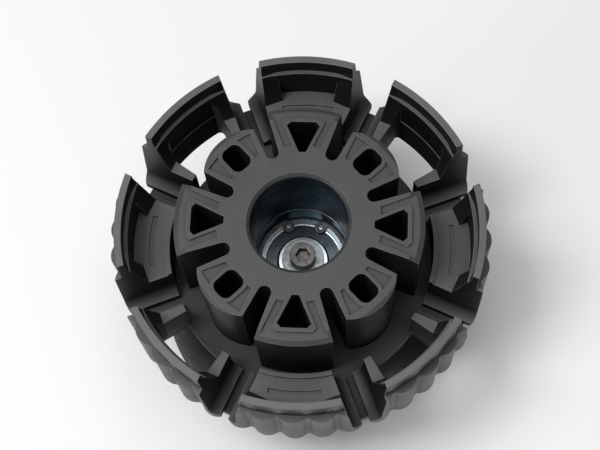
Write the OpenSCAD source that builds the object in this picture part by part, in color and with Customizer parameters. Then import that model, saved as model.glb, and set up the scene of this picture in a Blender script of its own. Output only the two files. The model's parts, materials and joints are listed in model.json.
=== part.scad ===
// Banding wheel: a turntable head of eight castellated rim segments on a ribbed hub,
// running on two ball bearings over a fixed spindle that stands in a cast foot.
// Origin on the bench at the centre of the foot, +Z up, millimetres.

/* [Wheel head] */
// Radius over the crests of the grip lobes
wheel_r = 60; // [59:0.5:62]
// Height of the hub's top face above the bench
hub_top = 80; // [79:0.5:84]
// Depth of the rim segments' underside below the hub's top face
rim_depth = 37; // [36:0.5:38]
// Depth of the rim wall's top edge below the hub's top face
wall_top_depth = 3; // [2:0.5:5]
// Outer radius of the smooth lip along the top of the rim wall
lip_r = 57.6; // [57:0.1:58]
// Inner radius of the rim wall
wall_inner_r = 54.2; // [53.8:0.1:54.6]
// Depth of the shelf inside the wall
shelf_depth = 22.8; // [20:0.2:25]
// Radius of the shelf's inner edge
shelf_inner_r = 42.5; // [42:0.1:43]

/* [Notches and windows] */
// Width of the slits that part neighbouring rim segments
slit_w = 2.8; // [2.4:0.1:3.2]
// Width of the U-shaped notches at their rounded bottom
notch_w = 9.8; // [9:0.1:10.4]
// Width of the notches at the top edge of the wall
notch_mouth_w = 14.4; // [12:0.1:15]
// Depth of the bottom of the notches below the hub's top face
notch_depth = 34; // [33:0.1:34.2]
// Half angle of the arched windows through the four diagonal segments
window_half_angle = 12; // [11:0.5:13]

/* [Hub] */
// Radius of the ball bearings, and of their seat in the liner
bore_r = 15; // [15]
// Radius of the open bore above the bearings
open_bore_r = 15.3; // [15.2:0.1:15.5]
// Outer radius of the hub ring, where the slots between the petals begin
hub_ring_r = 22.4; // [22:0.1:23]
// Radius of the outer ends of the four petals with a triangular window
petal_r = 38.8; // [38:0.1:39.5]
// Radius of the outer ends of the four petals with a small hole
short_petal_r = 36.8; // [36:0.1:38]
// Width of the slots between the petals at their inner end
slot_w = 4.2; // [3.8:0.1:4.6]
// Depth of the upper bearing's top face below the hub's top face
bearing_depth = 39; // [38.5:0.1:39.5]

/* [Foot] */
// Radius of the foot
foot_r = 50; // [47:0.5:52]
// Height of the foot's underside above the bench
foot_bottom = 3; // [2.5:0.1:3.5]
// Height of the top of the foot's column
column_top = 34; // [33:0.5:35]

/* [Hidden] */
$fn = 96;

// Sectors: one petal and one rim segment each, with the first at twelve o'clock (+Y)
sectors = 8;
sector_angle = 360 / sectors;
far = 100;                      // longer than anything that it cuts
cut = 1;                        // how far a cutting tool runs past a face

// Grip lobes on the outside of each rim segment
lobes_per_segment = 5;
lobe_pitch = sector_angle / lobes_per_segment;
lobe_r = 5.4;
valley_r = wheel_r - 1.6;
grip_top_depth = 12;            // the lobes stop here, below the smooth lip
lip_thickness = 2.2;
lip_step_depth = 9;             // the wall is thicker below this step

// Shelf inside the wall, with its raised inner bead and a ring groove
bead_w = 1.4;
bead_h = 1;
groove_r = 48.6;
groove_w = 1.6;
groove_d = 0.8;
gusset_reach = 11.6;            // inner face of the end gussets from the notch's middle
gusset_top_depth = 5;
gusset_toe_r = 50;
pocket_roof = 4;                // thickness of the shelf over the underside pocket
pocket_in_r = 45.5;
pocket_out_r = 52;
pocket_half_angle = 10;
window_in_r = 40;
flange_window_in_r = 43.5;       // the hub's flange shows as a ledge inside the windows
window_out_r = wall_inner_r - 0.2;
window_corner = 3;               // the corners are cut back by this, in mm and in degrees

// Petals: a triangular window in the cardinal ones, and a small round-cornered hole
// in the diagonal ones, whose outer end is rounded too. A shallow recess leaves
// raised edges along the slots and round the holes.
slot_in_r = 24.6;               // centre of the slots' rounded inner end
slot_growth = 0.155;            // how fast the slots widen along the radius
triangle_tip_r = 23.2;
triangle_base_r = 33.4;
triangle_base_w = 10.4;
triangle_tip_w = 2.2;
triangle_corner = 1.3;
short_round_r = 14.8;
hole_at = 28.9;
hole_length = 8.8;
hole_width = 6.8;
hole_corner_r = 2.4;
recess_d = 0.8;
recess_in_r = 25.4;
recess_out_r = 33.4;
recess_gap = 8.4;               // the recess keeps this far apart across a slot
recess_border = 1.3;
bevel_r = 35.4;                 // the petals' tops fall away outside this
bevel_slope = 0.45;
pocket_floor = 1.2;             // what the windows and holes leave above the flange

// Hub flange under the rim segments, and its screws
flange_t = 3.5;
flange_r = 57;
boss_r = 19;
boss_bottom = 11;
screw_at_r = 47;
screw_from_slit = 4.6;
screw_r = 1.25;
screw_head_r = 2.4;
screw_head_h = 1.8;
screw_tip_depth = 33.6;
screw_seat_h = 1.8;
screw_length = rim_depth + flange_t - screw_seat_h - screw_tip_depth;

// Hub liner: the steel tube that the bearings sit in
liner_r = 17;
liner_top = hub_top - 2;
liner_bottom = boss_bottom;
open_bore_bottom = 49.5;        // the bearing seat's radius starts below this
liner_lip_h = 1.5;
liner_lip_r = 13.2;

// Ball bearings, 10 x 30 x 9 mm
bearing_w = 9;
bearing_bore_r = 5;
pitch_r = 10;
ball_r = 2.38;
ball_count = 8;
race_groove_r = 2.45;
inner_land_r = 8.3;
outer_land_r = 11.7;
shield_t = 0.5;
shield_inset = 0.4;
shield_in_r = 8.7;
shield_out_r = 12.3;
cage_half_h = 3;
cage_in_r = 9.3;
cage_out_r = 10.7;
cage_pocket_r = 2.48;
upper_bearing_z = hub_top - bearing_depth - bearing_w / 2;
lower_bearing_z = liner_bottom + liner_lip_h + bearing_w / 2;
bearing_gap_low = lower_bearing_z + bearing_w / 2;
bearing_gap_high = upper_bearing_z - bearing_w / 2;
spacer_in_r = 13.2;
spacer_out_r = 7;

// Circlip in the liner, above the upper bearing
circlip_z = upper_bearing_z + bearing_w / 2;
circlip_t = 1.2;
circlip_in_r = 12.9;
circlip_out_r = 15.7;
circlip_gap_angle = 50;
circlip_ear_r = 2;
circlip_ear_at = 12.6;
circlip_ear_hole_r = 0.8;

// Spindle and what holds it
spindle_shoulder_r = 7;
foot_floor = 9;                 // top of the web that carries the spindle
anchor_recess_r = 11;
anchor_recess_top = 6.4;
thread_r = 4;
washer_r = 7;
washer_t = 1.5;
top_screw_r = 2.5;
top_screw_head_r = 4.25;
top_screw_head_h = 5;
top_screw_length = 14;
socket_across = 4;
socket_d = 2.6;
anchor_washer_r = 8;
anchor_washer_t = 1;
anchor_nut_across = 12;
anchor_nut_t = 2;

// Cast foot
foot_edge_h = 5;
column_base_r = 31;
column_r = 25.5;
well_r = 20.6;
rubber_count = 4;
rubber_at_r = 41;
rubber_r = 6;
rubber_seat = 1.2;              // the rubber feet sit this deep in the casting
rubber_screw_r = 1.5;
rubber_screw_head_r = 2.8;

// ---- shapes that repeat ----

// The part of a sector left by slits on both sides, as a wedge along +X
module wedge_outline(gap) {
    half = sector_angle / 2;
    tip = gap / 2 / sin(half);
    polygon([
        [tip, 0],
        [tip + far * cos(half), far * sin(half)],
        [tip + far * cos(half), -far * sin(half)]
    ]);
}

// A wedge of the given half angle along +X, with its tip on the axis
module angle_wedge(half_angle) {
    polygon([
        [0, 0],
        [far * cos(half_angle), far * sin(half_angle)],
        [far * cos(half_angle), -far * sin(half_angle)]
    ]);
}

module ring_outline(inner, outer) {
    difference() {
        circle(r = outer);
        circle(r = inner);
    }
}

module tube(inner, outer, z_low, z_high) {
    translate([0, 0, z_low])
        difference() {
            cylinder(r = outer, h = z_high - z_low);
            translate([0, 0, -cut]) cylinder(r = inner, h = z_high - z_low + 2 * cut);
        }
}

// Places children at the slit on each side of a sector that lies along +X
module at_both_slits() {
    for (side = [-1, 1])
        rotate([0, 0, side * sector_angle / 2])
            mirror([0, side > 0 ? 1 : 0, 0])
                children();
}

// A layer of a wheel-head part, between two depths below the hub's top face
module layer(depth_low, depth_high) {
    translate([0, 0, -depth_low])
        linear_extrude(height = depth_low - depth_high)
            children();
}

// ---- wheel head ----

module lobed_outline() {
    circle(r = valley_r);
    for (k = [-2 : 2])
        rotate([0, 0, k * lobe_pitch])
            translate([wheel_r - lobe_r, 0])
                circle(r = lobe_r, $fn = 48);
}

// One half of the U-shaped notch between two segments, seen along the radius
module notch_outline() {
    round_z = -notch_depth + notch_w / 2;
    translate([0, round_z]) circle(r = notch_w / 2, $fn = 64);
    polygon([
        [-notch_w / 2, round_z],
        [notch_w / 2, round_z],
        [notch_mouth_w / 2, cut],
        [-notch_mouth_w / 2, cut]
    ]);
}

module notch_cut() {
    rotate([90, 0, 90])
        translate([0, 0, shelf_inner_r - 2])
            linear_extrude(height = far)
                notch_outline();
}

module gusset() {
    translate([0, notch_w / 2 - 1.5, 0])
        mirror([0, 1, 0])
            rotate([90, 0, 0])
                linear_extrude(height = gusset_reach - notch_w / 2 + 1.5)
                    polygon([
                        [lip_r - 1, -gusset_top_depth],
                        [lip_r - 1, -shelf_depth - 1],
                        [gusset_toe_r, -shelf_depth - 1],
                        [gusset_toe_r, -shelf_depth],
                        [lip_r - lip_thickness, -gusset_top_depth]
                    ]);
}

module segment_wall() {
    layer(rim_depth, grip_top_depth)
        intersection() {
            difference() {
                lobed_outline();
                circle(r = wall_inner_r);
            }
            wedge_outline(slit_w);
        }
    layer(grip_top_depth, lip_step_depth)
        intersection() {
            ring_outline(wall_inner_r, lip_r);
            wedge_outline(slit_w);
        }
    layer(lip_step_depth, wall_top_depth)
        intersection() {
            ring_outline(lip_r - lip_thickness, lip_r);
            wedge_outline(slit_w);
        }
}

module segment_shelf(windowed) {
    layer(rim_depth, shelf_depth)
        intersection() {
            ring_outline(shelf_inner_r, wall_inner_r + 0.5);
            wedge_outline(slit_w);
        }
    if (!windowed)
        layer(shelf_depth + 0.5, shelf_depth - bead_h)
            intersection() {
                ring_outline(shelf_inner_r, shelf_inner_r + bead_w);
                wedge_outline(slit_w);
            }
}

module shelf_groove() {
    layer(shelf_depth + groove_d, shelf_depth - 0.1)
        intersection() {
            ring_outline(groove_r - groove_w / 2, groove_r + groove_w / 2);
            angle_wedge(pocket_half_angle);
        }
}

module underside_pocket() {
    layer(rim_depth + cut, shelf_depth + pocket_roof)
        intersection() {
            ring_outline(pocket_in_r, pocket_out_r);
            angle_wedge(pocket_half_angle);
        }
}

// The arched window, open towards the hub and with blunted corners at the wall
module arched_window() {
    a = window_half_angle;
    b = a - window_corner / 4;
    c = a - window_corner;
    r_a = window_out_r - window_corner;
    r_b = window_out_r - window_corner / 4;
    r_c = window_out_r + cut;
    layer(rim_depth + cut, 0)
        intersection() {
            ring_outline(window_in_r, window_out_r);
            polygon([
                [0, 0],
                [r_a * cos(a), r_a * sin(a)],
                [r_b * cos(b), r_b * sin(b)],
                [r_c * cos(c), r_c * sin(c)],
                [r_c * cos(c), -r_c * sin(c)],
                [r_b * cos(b), -r_b * sin(b)],
                [r_a * cos(a), -r_a * sin(a)]
            ]);
        }
}

module rim_segment(index) {
    windowed = index % 2 == 1;
    color("dimgray")
        rotate([0, 0, 90 - index * sector_angle])
            translate([0, 0, hub_top])
                difference() {
                    union() {
                        segment_wall();
                        segment_shelf(windowed);
                        intersection() {
                            at_both_slits() gusset();
                            layer(rim_depth, 0) wedge_outline(slit_w);
                        }
                    }
                    at_both_slits() notch_cut();
                    if (windowed) {
                        arched_window();
                    } else {
                        underside_pocket();
                        shelf_groove();
                    }
                    at_both_slits() segment_screw_shape(0);
                }
}

// A segment's screw, in a sector along +X with the slit's middle as the X axis
module segment_screw_shape(clearance) {
    translate([screw_at_r, screw_from_slit, -rim_depth - flange_t + screw_seat_h])
        cylinder(r = screw_r + clearance, h = screw_length, $fn = 32);
}

module segment_screws() {
    color("silver")
        for (k = [0 : sectors - 1])
            rotate([0, 0, k * sector_angle])
                translate([0, 0, hub_top])
                    at_both_slits() {
                        segment_screw_shape(0);
                        translate([screw_at_r, screw_from_slit, -rim_depth - flange_t])
                            difference() {
                                cylinder(r = screw_head_r, h = screw_head_h, $fn = 32);
                                translate([0, 0, -cut])
                                    cylinder(r = 1, h = cut + 1, $fn = 6);
                            }
                    }
}

// A slot between two petals, with the slot's middle along +X
module slot_outline() {
    end_w = slot_w + (far - slot_in_r) * slot_growth;
    translate([slot_in_r, 0]) circle(r = slot_w / 2, $fn = 48);
    polygon([
        [slot_in_r, -slot_w / 2],
        [slot_in_r, slot_w / 2],
        [far, end_w / 2],
        [far, -end_w / 2]
    ]);
}

// The triangular window, or the raised border round it when it is grown
module triangle_outline(grown) {
    half_w = triangle_base_w / 2 + grown * 1.3;
    corner = triangle_corner;
    tip = triangle_tip_r - grown;
    base = triangle_base_r + grown;
    polygon([
        [tip, -triangle_tip_w / 2 - grown / 2],
        [tip, triangle_tip_w / 2 + grown / 2],
        [base - corner, half_w],
        [base, half_w - corner],
        [base, corner - half_w],
        [base - corner, -half_w]
    ]);
}

// The small hole with rounded corners, or the raised border round it
module hole_outline(grown) {
    long = hole_length / 2 - hole_corner_r;
    wide = hole_width / 2 - hole_corner_r;
    r = hole_corner_r + grown;
    translate([hole_at, 0]) {
        for (a = [-1, 1])
            for (b = [-1, 1])
                translate([a * long, b * wide]) circle(r = r, $fn = 48);
        square([2 * (long + r), 2 * wide], center = true);
        square([2 * long, 2 * (wide + r)], center = true);
    }
}

module petal_outline(short_one) {
    intersection() {
        angle_wedge(sector_angle / 2);
        if (short_one)
            union() {
                circle(r = hub_ring_r);
                translate([short_petal_r - short_round_r, 0]) circle(r = short_round_r);
            }
        else
            circle(r = petal_r);
    }
}

module petal_recess(short_one) {
    difference() {
        intersection() {
            wedge_outline(recess_gap);
            ring_outline(recess_in_r, short_one ? recess_out_r : far);
        }
        if (short_one)
            hole_outline(recess_border);
        else
            triangle_outline(recess_border);
    }
}

// The petals' top falls away outwards, as a shallow cone
module petal_bevel() {
    rotate_extrude()
        polygon([
            [bevel_r, 0],
            [bevel_r, cut],
            [petal_r + 2, cut],
            [petal_r + 2, -(petal_r + 2 - bevel_r) * bevel_slope]
        ]);
}

module petals() {
    difference() {
        layer(rim_depth + 1, 0)
            difference() {
                union() {
                    circle(r = slot_in_r);
                    for (k = [0 : sectors - 1])
                        rotate(k * sector_angle) petal_outline(k % 2 == 1);
                }
                for (k = [0 : sectors - 1])
                    rotate((k + 0.5) * sector_angle) slot_outline();
            }
        layer(rim_depth - pocket_floor, -cut)
            for (k = [0 : sectors - 1])
                rotate(k * sector_angle)
                    if (k % 2 == 1) hole_outline(0);
                    else triangle_outline(0);
        layer(recess_d, -cut)
            for (k = [0 : sectors - 1])
                rotate(k * sector_angle) petal_recess(k % 2 == 1);
        petal_bevel();
    }
}

// The flange that carries the rim segments, cut away under the arched windows
module hub_flange() {
    difference() {
        layer(rim_depth + flange_t, rim_depth)
            difference() {
                circle(r = flange_r);
                for (k = [0 : sectors / 2 - 1])
                    rotate((2 * k + 1) * sector_angle)
                        intersection() {
                            ring_outline(flange_window_in_r, far);
                            angle_wedge(window_half_angle);
                        }
            }
        for (k = [0 : sectors - 1])
            rotate([0, 0, k * sector_angle])
                at_both_slits() {
                    segment_screw_shape(0.1);
                    translate([screw_at_r, screw_from_slit, -rim_depth - flange_t - cut])
                        cylinder(r = screw_head_r + 0.2, h = screw_seat_h + cut, $fn = 32);
                }
    }
}

module wheel_hub() {
    color("gray")
        difference() {
            union() {
                translate([0, 0, hub_top]) {
                    petals();
                    hub_flange();
                }
                translate([0, 0, hub_top - rim_depth - flange_t])
                    cylinder(r = hub_ring_r, h = rim_depth + flange_t);
                translate([0, 0, boss_bottom])
                    cylinder(r = boss_r, h = hub_top - rim_depth - boss_bottom);
            }
            translate([0, 0, boss_bottom - cut])
                cylinder(r = liner_r, h = liner_top - boss_bottom + cut);
            translate([0, 0, boss_bottom])
                cylinder(r = open_bore_r, h = hub_top);
            translate([0, 0, hub_top - 0.8])
                cylinder(r1 = open_bore_r, r2 = open_bore_r + 1, h = 0.8 + 0.001);
        }
}

// ---- bore: liner, circlip, bearings, spacers ----

module hub_liner() {
    color("lightsteelblue")
        difference() {
            tube(bore_r, liner_r, liner_bottom, liner_top);
            translate([0, 0, circlip_z])
                cylinder(r = circlip_out_r, h = circlip_t);
            translate([0, 0, open_bore_bottom])
                cylinder(r = open_bore_r, h = hub_top);
        }
    color("lightsteelblue")
        tube(liner_lip_r, bore_r + 0.5, liner_bottom, liner_bottom + liner_lip_h);
}

module bore_circlip() {
    color("slategray")
        translate([0, 0, circlip_z])
            linear_extrude(height = circlip_t)
                difference() {
                    union() {
                        difference() {
                            ring_outline(circlip_in_r + 0.9, circlip_out_r);
                            rotate(90) angle_wedge(circlip_gap_angle / 2);
                        }
                        for (side = [-1, 1])
                            rotate(90 + side * circlip_gap_angle / 2)
                                translate([circlip_ear_at, 0])
                                    circle(r = circlip_ear_r, $fn = 32);
                    }
                    for (side = [-1, 1])
                        rotate(90 + side * circlip_gap_angle / 2)
                            translate([circlip_ear_at, 0])
                                circle(r = circlip_ear_hole_r, $fn = 24);
                }
}

module race_groove() {
    rotate_extrude() translate([pitch_r, 0]) circle(r = race_groove_r, $fn = 48);
}

module outer_race(z) {
    color("silver")
        translate([0, 0, z])
            difference() {
                tube(outer_land_r, bore_r, -bearing_w / 2, bearing_w / 2);
                race_groove();
                for (side = [-1, 1])
                    translate([0, 0, side * bearing_w / 2 - (shield_t + shield_inset + 0.1)])
                        cylinder(r = shield_out_r, h = 2 * (shield_t + shield_inset + 0.1));
            }
}

module inner_race(z) {
    color("silver")
        translate([0, 0, z])
            difference() {
                tube(bearing_bore_r, inner_land_r, -bearing_w / 2, bearing_w / 2);
                race_groove();
            }
}

module ball_set(z) {
    color("white")
        for (k = [0 : ball_count - 1])
            rotate([0, 0, k * 360 / ball_count])
                translate([pitch_r, 0, z])
                    sphere(r = ball_r, $fn = 32);
}

module ball_cage(z) {
    color("peru")
        translate([0, 0, z])
            difference() {
                tube(cage_in_r, cage_out_r, -cage_half_h, cage_half_h);
                for (k = [0 : ball_count - 1])
                    rotate([0, 90, k * 360 / ball_count])
                        cylinder(r = cage_pocket_r, h = pitch_r * 2, $fn = 32);
            }
}

module shield_pair(z) {
    color("gainsboro")
        for (side = [-1, 1])
            translate([0, 0, z + side * (bearing_w / 2 - shield_inset - shield_t / 2) - shield_t / 2])
                tube(shield_in_r, shield_out_r, 0, shield_t);
}

module outer_spacer() {
    color("lightgray") tube(spacer_in_r, bore_r, bearing_gap_low, bearing_gap_high);
}

module inner_spacer() {
    color("lightgray") tube(bearing_bore_r, spacer_out_r, bearing_gap_low, bearing_gap_high);
}

// ---- spindle and foot ----

module spindle() {
    top = upper_bearing_z + bearing_w / 2;
    color("lightgray")
        difference() {
            union() {
                translate([0, 0, foot_floor])
                    cylinder(r = bearing_bore_r, h = top - foot_floor);
                translate([0, 0, foot_floor])
                    cylinder(r = spindle_shoulder_r, h = liner_bottom + liner_lip_h - foot_floor);
                translate([0, 0, foot_bottom + 0.3])
                    cylinder(r = thread_r, h = foot_floor - foot_bottom);
            }
            translate([0, 0, top - top_screw_length])
                cylinder(r = top_screw_r, h = top_screw_length + cut, $fn = 48);
        }
}

module spindle_washer() {
    low = upper_bearing_z + bearing_w / 2;
    color("lightgray") tube(top_screw_r + 0.1, washer_r, low, low + washer_t);
}

module spindle_screw() {
    seat = upper_bearing_z + bearing_w / 2 + washer_t;
    color("darkgray")
        difference() {
            union() {
                translate([0, 0, seat]) cylinder(r = top_screw_head_r, h = top_screw_head_h);
                translate([0, 0, seat - washer_t - top_screw_length + 1])
                    cylinder(r = top_screw_r, h = washer_t + top_screw_length, $fn = 48);
            }
            translate([0, 0, seat + top_screw_head_h - socket_d])
                cylinder(r = socket_across / 2 / cos(30), h = socket_d + cut, $fn = 6);
        }
}

module cast_foot() {
    color("darkslategray")
        difference() {
            rotate_extrude($fn = 128)
                polygon([
                    [0, anchor_recess_top],
                    [anchor_recess_r, anchor_recess_top],
                    [anchor_recess_r, foot_bottom],
                    [foot_r - 1, foot_bottom],
                    [foot_r, foot_bottom + 1],
                    [foot_r, foot_bottom + foot_edge_h - 1],
                    [foot_r - 1, foot_bottom + foot_edge_h],
                    [column_base_r + 1.5, foot_bottom + foot_edge_h + 1],
                    [column_base_r - 1, foot_bottom + foot_edge_h + 3],
                    [column_r, column_top - 1],
                    [column_r - 1, column_top],
                    [well_r + 0.6, column_top],
                    [well_r, column_top - 0.6],
                    [well_r, foot_floor],
                    [0, foot_floor]
                ]);
            cylinder(r = thread_r + 0.05, h = foot_floor + cut);
            at_rubber_feet() {
                cylinder(r = rubber_r, h = foot_bottom + rubber_seat, $fn = 48);
                cylinder(r = rubber_screw_r, h = foot_bottom + foot_edge_h - 1, $fn = 32);
            }
        }
}

module at_rubber_feet() {
    for (k = [0 : rubber_count - 1])
        rotate([0, 0, (k + 0.5) * 360 / rubber_count])
            translate([rubber_at_r, 0, 0])
                children();
}

module rubber_feet() {
    color("black")
        at_rubber_feet()
            difference() {
                union() {
                    cylinder(r1 = rubber_r - 1.2, r2 = rubber_r - 0.4, h = foot_bottom, $fn = 48);
                    translate([0, 0, foot_bottom])
                        cylinder(r = rubber_r, h = rubber_seat, $fn = 48);
                }
                translate([0, 0, -cut])
                    cylinder(r = rubber_screw_head_r + 0.1, h = cut + 1.8, $fn = 32);
                translate([0, 0, -cut])
                    cylinder(r = rubber_screw_r + 0.1, h = far, $fn = 32);
            }
}

module feet_screws() {
    color("silver")
        at_rubber_feet()
            difference() {
                union() {
                    translate([0, 0, 0.6])
                        cylinder(r = rubber_screw_head_r, h = 1.2, $fn = 32);
                    translate([0, 0, 0.6])
                        cylinder(r = rubber_screw_r, h = foot_bottom + foot_edge_h - 2, $fn = 32);
                }
                cylinder(r = 1, h = 1.2, $fn = 6);
            }
}

module anchor_washer() {
    color("silver")
        tube(thread_r + 0.1, anchor_washer_r, anchor_recess_top - anchor_washer_t, anchor_recess_top);
}

module anchor_nut() {
    top = anchor_recess_top - anchor_washer_t;
    color("silver")
        translate([0, 0, top - anchor_nut_t])
            difference() {
                cylinder(r = anchor_nut_across / 2 / cos(30), h = anchor_nut_t, $fn = 6);
                translate([0, 0, -cut]) cylinder(r = thread_r, h = anchor_nut_t + 2 * cut);
            }
}

wheel_hub();
for (k = [0 : sectors - 1])
    rim_segment(k);
segment_screws();
hub_liner();
bore_circlip();
outer_race(upper_bearing_z);  // upper_outer_race
inner_race(upper_bearing_z);  // upper_inner_race
ball_set(upper_bearing_z);  // upper_balls
ball_cage(upper_bearing_z);  // upper_cage
shield_pair(upper_bearing_z);  // upper_shields
outer_race(lower_bearing_z);  // lower_outer_race
inner_race(lower_bearing_z);  // lower_inner_race
ball_set(lower_bearing_z);  // lower_balls
ball_cage(lower_bearing_z);  // lower_cage
shield_pair(lower_bearing_z);  // lower_shields
outer_spacer();
inner_spacer();
spindle();
spindle_washer();
spindle_screw();
cast_foot();
anchor_washer();
anchor_nut();
rubber_feet();
feet_screws();
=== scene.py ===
"""Looks of the banding wheel: camera, studio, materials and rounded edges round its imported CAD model.

Every piece is carried over from the CAD model, so this file adds no pieces of its own.
Lengths in the constants are in metres unless they are named or written as MM.
"""
import json
import math

import bpy
from mathutils import Matrix, Vector


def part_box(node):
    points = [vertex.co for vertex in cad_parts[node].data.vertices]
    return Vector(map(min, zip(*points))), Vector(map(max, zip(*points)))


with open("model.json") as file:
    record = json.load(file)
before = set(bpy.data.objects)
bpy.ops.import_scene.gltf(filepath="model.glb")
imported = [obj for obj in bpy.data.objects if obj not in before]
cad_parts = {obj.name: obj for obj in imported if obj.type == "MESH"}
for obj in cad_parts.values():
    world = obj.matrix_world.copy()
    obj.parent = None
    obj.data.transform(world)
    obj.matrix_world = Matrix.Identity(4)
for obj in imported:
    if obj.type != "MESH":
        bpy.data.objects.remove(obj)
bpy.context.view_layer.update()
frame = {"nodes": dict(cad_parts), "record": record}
MM = 0.001

HUB_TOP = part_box("wheel_hub")[1].z
WHEEL_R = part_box("rim_segment_1")[1].y


# ---- camera ----

CAMERA_AZIMUTH = math.radians(8.5)
CAMERA_ELEVATION = math.radians(70.9)
CAMERA_ROLL = math.radians(6.3)
CAMERA_DISTANCE = 7.0 * WHEEL_R
LENS_MM = 82.2
AIM_RIGHT = 0.35 * MM
AIM_UP = -0.9 * MM
SENSOR_WIDTH_MM = 36
CLIP_START = 0.01
CLIP_END = 20


def make_camera():
    cam = bpy.data.objects.new("camera", bpy.data.cameras.new("camera"))
    bpy.context.collection.objects.link(cam)
    flat = math.cos(CAMERA_ELEVATION)
    back = Vector((
        math.sin(CAMERA_AZIMUTH) * flat,
        -math.cos(CAMERA_AZIMUTH) * flat,
        math.sin(CAMERA_ELEVATION),
    ))
    turn = (-back).to_track_quat("-Z", "Y").to_matrix() @ Matrix.Rotation(-CAMERA_ROLL, 3, "Z")
    hub = Vector((0, 0, HUB_TOP))
    aim = hub + turn @ Vector((AIM_RIGHT, AIM_UP, 0))
    cam.location = aim + back * CAMERA_DISTANCE
    cam.rotation_mode = "QUATERNION"
    cam.rotation_quaternion = turn.to_quaternion()
    cam.data.sensor_width = SENSOR_WIDTH_MM
    cam.data.lens = LENS_MM
    cam.data.clip_start = CLIP_START
    cam.data.clip_end = CLIP_END
    bpy.context.scene.camera = cam


make_camera()


# ---- floor and light ----

WHEEL_CENTRE = (0, 0, 0.05)
FLOOR_HALF_WIDTH = 3.0
FLOOR_COLOUR = (0.9, 0.9, 0.905, 1)
FLOOR_ROUGHNESS = 0.8
FLOOR_SPECULAR = 0.2
WORLD_STRENGTH = 0.15

# name, place, size, watts, colour: each light points at the wheel
LIGHTS = (
    ("key", (-0.46, -0.1, 1.15), (0.4, 0.4), 7.4, (1, 1, 1)),
    ("left_fill", (-1.0, -0.65, 0.5), (0.5, 0.6), 3.5, (0.93, 0.97, 1.0)),
    ("front_fill", (0.4, -1.1, 0.45), (0.6, 0.4), 1.5, (1, 1, 1)),
    ("top_fill", (-0.02, 0.1, 1.4), (1.0, 1.0), 8.3, (1, 1, 1)),
)


def make_area_light(name, place, size, watts, colour):
    light = bpy.data.objects.new(name, bpy.data.lights.new(name, "AREA"))
    bpy.context.collection.objects.link(light)
    light.data.shape = "RECTANGLE"
    light.data.size, light.data.size_y = size
    light.data.energy = watts
    light.data.color = colour
    light.location = place
    light.rotation_mode = "QUATERNION"
    light.rotation_quaternion = (Vector(WHEEL_CENTRE) - Vector(place)).to_track_quat("-Z", "Y")


def make_floor():
    mesh = bpy.data.meshes.new("floor")
    half = FLOOR_HALF_WIDTH
    corners = [(-half, -half, 0), (half, -half, 0), (half, half, 0), (-half, half, 0)]
    mesh.from_pydata(corners, [], [(0, 1, 2, 3)])
    floor = bpy.data.objects.new("floor", mesh)
    bpy.context.collection.objects.link(floor)
    mat = bpy.data.materials.new("floor_paper")
    mat.use_nodes = True
    shader = mat.node_tree.nodes["Principled BSDF"]
    shader.inputs["Base Color"].default_value = FLOOR_COLOUR
    shader.inputs["Roughness"].default_value = FLOOR_ROUGHNESS
    shader.inputs["Specular IOR Level"].default_value = FLOOR_SPECULAR
    mesh.materials.append(mat)


def make_world():
    world = bpy.data.worlds.new("studio")
    bpy.context.scene.world = world
    world.use_nodes = True
    background = world.node_tree.nodes["Background"]
    background.inputs["Color"].default_value = (1, 1, 1, 1)
    background.inputs["Strength"].default_value = WORLD_STRENGTH


make_floor()
make_world()
for row in LIGHTS:
    make_area_light(*row)
bpy.context.scene.view_settings.view_transform = "Standard"


# ---- materials ----

AO_SAMPLES = 6
BEVEL_SAMPLES = 6
SHARP_DOT, ROUND_DOT = 0.995, 0.86      # rounded normal against the face's own, off and on an edge
UPRIGHT_Z, LEVEL_Z = 0.25, 0.95         # height part of the normal, on steep and on level faces


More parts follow.
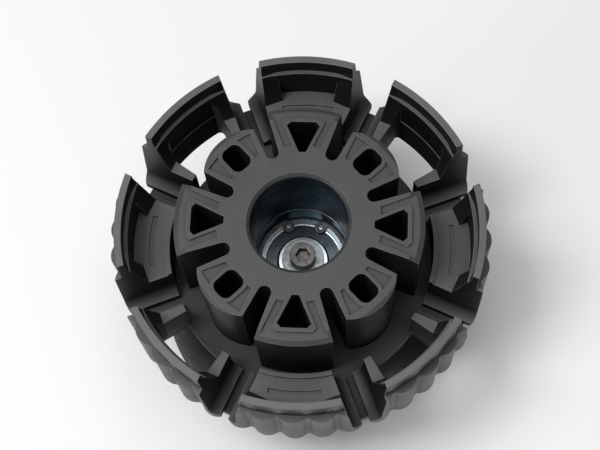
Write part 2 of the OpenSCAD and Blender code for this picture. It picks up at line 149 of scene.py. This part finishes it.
class Graph:
    """A material's node tree, with short calls for the nodes used here. Sizes are in millimetres."""

    def __init__(self, name):
        self.mat = bpy.data.materials.new(name)
        self.mat.use_nodes = True
        self.tree = self.mat.node_tree
        self.shader = self.tree.nodes["Principled BSDF"]
        self.place = self.new("ShaderNodeTexCoord").outputs["Object"]
        self.geometry = self.new("ShaderNodeNewGeometry")

    def new(self, kind, **settings):
        node = self.tree.nodes.new(kind)
        for key, value in settings.items():
            setattr(node, key, value)
        return node

    def feed(self, socket, value):
        """Links an output to the socket, or sets a plain value on it."""
        if isinstance(value, bpy.types.NodeSocket):
            self.tree.links.new(value, socket)
        else:
            socket.default_value = value

    def math(self, operation, a, b=0.0, clamp=False):
        node = self.new("ShaderNodeMath", operation=operation, use_clamp=clamp)
        self.feed(node.inputs[0], a)
        self.feed(node.inputs[1], b)
        return node.outputs[0]

    def split(self, vector):
        node = self.new("ShaderNodeSeparateXYZ")
        self.feed(node.inputs[0], vector)
        return node.outputs

    def join(self, x, y, z):
        node = self.new("ShaderNodeCombineXYZ")
        for socket, value in zip(node.inputs, (x, y, z)):
            self.feed(socket, value)
        return node.outputs[0]

    def noise(self, size, detail=3.0, rough=0.5, vector=None):
        node = self.new("ShaderNodeTexNoise")
        self.feed(node.inputs["Vector"], self.place if vector is None else vector)
        node.inputs["Scale"].default_value = 1 / (size * MM)
        node.inputs["Detail"].default_value = detail
        node.inputs["Roughness"].default_value = rough
        return node.outputs["Fac"]

    def cells(self, size):
        node = self.new("ShaderNodeTexVoronoi")
        self.feed(node.inputs["Vector"], self.place)
        node.inputs["Scale"].default_value = 1 / (size * MM)
        return node.outputs["Distance"]

    def span(self, value, low, high, to_low=0.0, to_high=1.0):
        node = self.new("ShaderNodeMapRange")
        self.feed(node.inputs["Value"], value)
        ends = (("From Min", low), ("From Max", high), ("To Min", to_low), ("To Max", to_high))
        for name, number in ends:
            node.inputs[name].default_value = number
        return node.outputs["Result"]

    def mix(self, share, a, b):
        node = self.new("ShaderNodeMix", data_type="RGBA")
        self.feed(node.inputs["Factor"], share)
        colours = [s for s in node.inputs if s.type == "RGBA"]
        for socket, value in zip(colours, (a, b)):
            self.feed(socket, value if isinstance(value, bpy.types.NodeSocket) else (*value, 1))
        return next(s for s in node.outputs if s.type == "RGBA")

    def bump(self, height, depth, strength=1.0, normal=None):
        node = self.new("ShaderNodeBump")
        self.feed(node.inputs["Height"], height)
        node.inputs["Distance"].default_value = depth * MM
        node.inputs["Strength"].default_value = strength
        if normal is not None:
            self.feed(node.inputs["Normal"], normal)
        return node.outputs[0]

    def rounded(self, radius):
        node = self.new("ShaderNodeBevel", samples=BEVEL_SAMPLES)
        node.inputs["Radius"].default_value = radius * MM
        return node.outputs[0]

    def edges(self, radius):
        """1 along edges, 0 on open faces."""
        node = self.new("ShaderNodeVectorMath", operation="DOT_PRODUCT")
        self.feed(node.inputs[0], self.rounded(radius))
        self.feed(node.inputs[1], self.geometry.outputs["True Normal"])
        return self.span(node.outputs["Value"], SHARP_DOT, ROUND_DOT)

    def facing_up(self):
        """1 on faces that look up, 0 on upright ones."""
        return self.span(self.split(self.geometry.outputs["True Normal"])[2], UPRIGHT_Z, LEVEL_Z)

    def hollows(self, reach):
        """1 in corners and hollows, 0 in the open."""
        node = self.new("ShaderNodeAmbientOcclusion", samples=AO_SAMPLES)
        node.inputs["Distance"].default_value = reach * MM
        return self.math("SUBTRACT", 1.0, node.outputs["AO"])

    def round_the_axis(self, round_size, radial_size, height_size):
        """Coordinates that stretch a noise into rings about the spindle."""
        x, y, z = self.split(self.place)
        angle = self.math("ARCTAN2", y, x)
        square = self.math("ADD", self.math("MULTIPLY", x, x), self.math("MULTIPLY", y, y))
        radius = self.math("SQRT", square)
        return self.join(
            self.math("MULTIPLY", angle, 1 / round_size),
            self.math("MULTIPLY", radius, 1 / (radial_size * MM)),
            self.math("MULTIPLY", z, 1 / (height_size * MM)),
        )

    def finish(self, colour, roughness, normal=None, metallic=0.0, **constants):
        self.feed(self.shader.inputs["Base Color"], colour)
        self.feed(self.shader.inputs["Roughness"], roughness)
        self.shader.inputs["Metallic"].default_value = metallic
        if normal is not None:
            self.feed(self.shader.inputs["Normal"], normal)
        for name, value in constants.items():
            self.shader.inputs[name.replace("_", " ")].default_value = value
        return self.mat


def moulded_plastic(name, base, dust_and_sheen, worn_and_highlit, roughness, grain):
    """Black moulded plastic: spark-eroded grain; a lighter film on faces that look up, partly dust and
    partly painted sheen of the light from above, held back in hollows as painted shade; and pale edges,
    partly handling wear and partly painted edge highlights.
    """
    g = Graph(name)
    slow = g.noise(size=16, detail=4, rough=0.6)
    speck = g.noise(size=1.1, detail=5, rough=0.65)
    # Partly painted light: faces that look up get a lighter film, partly dust and partly a painted
    # sheen of the light from above.
    top_dust_and_sheen = g.math("MULTIPLY", g.facing_up(), g.span(slow, 0.3, 0.7, 0.72, 1.0))
    top_dust_and_sheen = g.math("MULTIPLY", top_dust_and_sheen, g.span(speck, 0.25, 0.75, 0.86, 1.08))
    closed = g.hollows(reach=20)
    # Painted shade: the lighter film is held back in hollows and recesses, so they stay darker.
    top_dust_and_sheen = g.math("MULTIPLY", top_dust_and_sheen, g.span(closed, 0.1, 0.75, 1.0, 0.55))
    colour = g.mix(top_dust_and_sheen, base, dust_and_sheen)
    # Partly painted highlight: edges are lightened, partly as handling wear and partly as painted edge
    # highlights.
    patches = g.span(g.noise(size=5, detail=4, rough=0.7), 0.35, 0.62, 0.25, 1.0)
    pale_edges = g.math("MULTIPLY", g.edges(radius=0.45), patches)
    colour = g.mix(pale_edges, colour, worn_and_highlit)
    wipe = g.noise(size=3.5, detail=3, rough=0.5, vector=g.round_the_axis(0.9, 1.4, 4.0))
    rough = g.math(
        "ADD",
        g.span(slow, 0.3, 0.7, roughness - 0.05, roughness + 0.05),
        g.span(wipe, 0.3, 0.7, -0.04, 0.04),
    )
    rough = g.math("ADD", rough, g.span(closed, 0.1, 0.6, 0.0, 0.3), clamp=True)
    pits = g.noise(size=grain, detail=2, rough=0.5)
    normal = g.bump(pits, depth=0.03, strength=0.55, normal=g.rounded(0.35))
    sink = g.noise(size=9, detail=2, rough=0.4)
    normal = g.bump(sink, depth=0.12, strength=0.25, normal=normal)
    return g.finish(colour, rough, normal, Specular_IOR_Level=0.32)


def turned_metal(name, dark, bright, roughness, ring=0.25, groove=0.012, stain=0.5):
    """Metal turned, bored or ground on a lathe: fine rings about the spindle and faint stains."""
    g = Graph(name)
    # the ring coordinates are already scaled, so the noise itself isn't
    rings = g.noise(size=1 / MM, detail=3, rough=0.6, vector=g.round_the_axis(2.5, ring, ring))
    cloud = g.noise(size=4, detail=4, rough=0.6)
    tone = g.math("MULTIPLY", g.span(cloud, 0.35, 0.7), stain)
    colour = g.mix(tone, bright, dark)
    colour = g.mix(g.span(rings, 0.42, 0.7, 0.0, 0.35), colour, dark)
    rough = g.math(
        "ADD",
        g.span(cloud, 0.3, 0.7, roughness, roughness + 0.1),
        g.span(rings, 0.3, 0.7, -0.03, 0.06),
    )
    normal = g.bump(rings, depth=groove, strength=0.6, normal=g.rounded(0.12))
    edge_tint = (0.4, 0.42, 0.44, 1)
    return g.finish(colour, rough, normal, 1.0, Anisotropic=0.5, Specular_Tint=edge_tint)


def plated_steel(name, base, tint, roughness):
    """Zinc-plated or blackened screws and washers: a crystalline mottle and dull edges."""
    g = Graph(name)
    patch = g.cells(size=0.9)
    cloud = g.noise(size=2.2, detail=4, rough=0.6)
    colour = g.mix(g.span(cloud, 0.35, 0.65), base, tint)
    rough = g.span(patch, 0.0, 0.6, roughness, roughness + 0.18)
    crystals = g.noise(size=0.25, detail=3, rough=0.6)
    normal = g.bump(crystals, depth=0.01, strength=0.4, normal=g.rounded(0.12))
    return g.finish(colour, rough, normal, 1.0)


def sand_casting(name, base, chipped, roughness):
    """Stove enamel over a sand casting: orange peel over a coarse skin, thin at the edges."""
    g = Graph(name)
    peel = g.noise(size=1.6, detail=2, rough=0.45)
    skin = g.noise(size=0.55, detail=4, rough=0.65)
    slow = g.noise(size=20, detail=3, rough=0.5)
    lighter = tuple(c * 1.5 for c in base)
    colour = g.mix(g.span(slow, 0.3, 0.7), base, lighter)
    chips = g.span(g.noise(size=3, detail=5, rough=0.7), 0.52, 0.66)
    pale_edges = g.math("MULTIPLY", g.edges(radius=0.4), chips)
    colour = g.mix(pale_edges, colour, chipped)
    rough = g.span(peel, 0.3, 0.7, roughness - 0.06, roughness + 0.1)
    normal = g.bump(skin, depth=0.05, strength=0.4, normal=g.rounded(0.5))
    normal = g.bump(peel, depth=0.12, strength=0.5, normal=normal)
    return g.finish(colour, rough, normal, 0.0, Coat_Weight=0.25, Coat_Roughness=0.2)


def moulded_rubber(name, base):
    """Matt moulded rubber with a bloom and a fine grain."""
    g = Graph(name)
    bloom = g.noise(size=3, detail=4, rough=0.6)
    bloomed = tuple(c * 2.6 for c in base)
    colour = g.mix(g.span(bloom, 0.35, 0.7), base, bloomed)
    fine = g.noise(size=0.3, detail=3, rough=0.6)
    normal = g.bump(fine, depth=0.03, strength=0.6, normal=g.rounded(0.3))
    return g.finish(colour, g.span(bloom, 0.3, 0.7, 0.72, 0.9), normal)


# Material slot of the record: how it is made, and its colours and surface
RECIPES = {
    # For the two plastics, the second colour is a lighter top film, partly dust and partly painted
    # sheen of the light from above; the third lightens edges, partly as wear and partly as painted
    # highlight.
    "hub_plastic": (moulded_plastic, dict(
        base=(0.003, 0.003, 0.0032), dust_and_sheen=(0.063, 0.064, 0.065), worn_and_highlit=(0.15, 0.15, 0.155),
        roughness=0.46, grain=0.32)),
    "rim_plastic": (moulded_plastic, dict(
        base=(0.004, 0.004, 0.0043), dust_and_sheen=(0.115, 0.115, 0.114), worn_and_highlit=(0.17, 0.17, 0.175),
        roughness=0.4, grain=0.28)),
    "foot_enamel": (sand_casting, dict(
        base=(0.022, 0.023, 0.025), chipped=(0.16, 0.15, 0.14), roughness=0.34)),
    "liner_steel": (turned_metal, dict(
        dark=(0.012, 0.015, 0.017), bright=(0.06, 0.072, 0.08), roughness=0.24)),
    "bearing_steel": (turned_metal, dict(
        dark=(0.34, 0.39, 0.41), bright=(0.78, 0.85, 0.88),
        roughness=0.2, ring=0.15, groove=0.006, stain=0.3)),
    "shield_steel": (turned_metal, dict(
        dark=(0.03, 0.035, 0.04), bright=(0.13, 0.15, 0.165),
        roughness=0.25, ring=0.4, groove=0.01, stain=0.5)),
    "cage_brass": (turned_metal, dict(
        dark=(0.34, 0.23, 0.09), bright=(0.66, 0.47, 0.2),
        roughness=0.28, ring=0.3, groove=0.01, stain=0.6)),
    "spindle_steel": (turned_metal, dict(
        dark=(0.12, 0.13, 0.14), bright=(0.3, 0.33, 0.35), roughness=0.28)),
    "spring_steel": (plated_steel, dict(
        base=(0.07, 0.07, 0.075), tint=(0.14, 0.135, 0.13), roughness=0.36)),
    "screw_steel": (plated_steel, dict(
        base=(0.3, 0.33, 0.35), tint=(0.2, 0.215, 0.22), roughness=0.26)),
    "foot_rubber": (moulded_rubber, dict(base=(0.014, 0.014, 0.015))),
}
FINISHES = {slot: make(slot, **look) for slot, (make, look) in RECIPES.items()}
for row in frame["record"]["subparts"]:
    node = frame["nodes"][row["node"]]
    node.data.materials.clear()
    node.data.materials.append(FINISHES[row["material_slot"]])


# ---- rounded edges ----

WELD_GAP = 0.004 * MM
FLAT_WITHIN = math.radians(0.4)         # neighbouring faces closer than this become one
EDGE_OVER = math.radians(40)            # only edges sharper than this are rounded

# Edge radius of each moulded or turned node, in millimetres.
# The foot isn't here: its edges are rounded in the CAD model.
EDGE_RADII = {
    "wheel_hub": 0.3, "hub_liner": 0.15, "bore_circlip": 0.12,
    "upper_outer_race": 0.25, "upper_inner_race": 0.25,
    "spindle_washer": 0.15, "spindle_screw": 0.2,
    **{f"rim_segment_{k}": 0.3 for k in range(1, 9)},
}
for name, radius in EDGE_RADII.items():
    node = frame["nodes"][name]
    weld = node.modifiers.new("weld", "WELD")
    weld.merge_threshold = WELD_GAP
    flat = node.modifiers.new("flat", "DECIMATE")
    flat.decimate_type = "DISSOLVE"
    flat.angle_limit = FLAT_WITHIN
    round_off = node.modifiers.new("round_off", "BEVEL")
    round_off.width = radius * MM
    round_off.segments = 2
    round_off.limit_method = "ANGLE"
    round_off.angle_limit = EDGE_OVER
    round_off.use_clamp_overlap = True
    shading = node.modifiers.new("shading", "WEIGHTED_NORMAL")
    shading.keep_sharp = True
